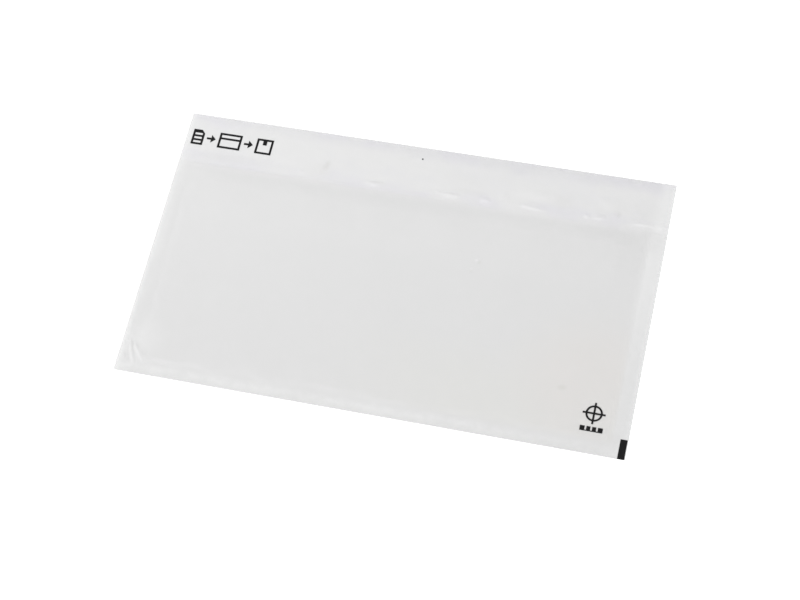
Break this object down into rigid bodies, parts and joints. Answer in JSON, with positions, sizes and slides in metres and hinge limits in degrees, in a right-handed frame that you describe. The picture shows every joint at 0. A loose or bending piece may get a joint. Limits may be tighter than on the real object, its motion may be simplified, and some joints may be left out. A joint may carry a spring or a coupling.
{
  "type": "packing list envelope",
  "caption": "Flat self-adhesive document pouch of clear film with welded seams, a tacked-down flap along one long side and a divided release liner on its back.",
  "frame": {"origin": "middle of the liner's underside, at the centre of the whole sheet", "axes": "+X along the width, to the right as the face is seen; +Y from the bottom seam towards the flap; +Z out of the face"},
  "size_m": [0.24, 0.14, 0.0013],
  "materials": {
    "face_film": "soft gloss, slightly milky clear polythene",
    "back_film": "soft gloss polythene",
    "adhesive": "tacky, slightly yellow",
    "liner": "smooth silicone-coated release paper",
    "ink": "satin black printing ink"
  },
  "bodies": {
    "root": {"face_film": "face_film", "back_film": "back_film", "pouch_adhesive": "adhesive", "flap_adhesive": "adhesive", "pouch_liner": "liner", "flap_liner": "liner", "register_print": "ink", "dot_print": "ink", "page_print": "ink", "first_arrow_print": "ink", "pouch_print": "ink", "second_arrow_print": "ink", "parcel_print": "ink", "target_print": "ink", "patch_print": "ink"}
  },
  "joints": []
}
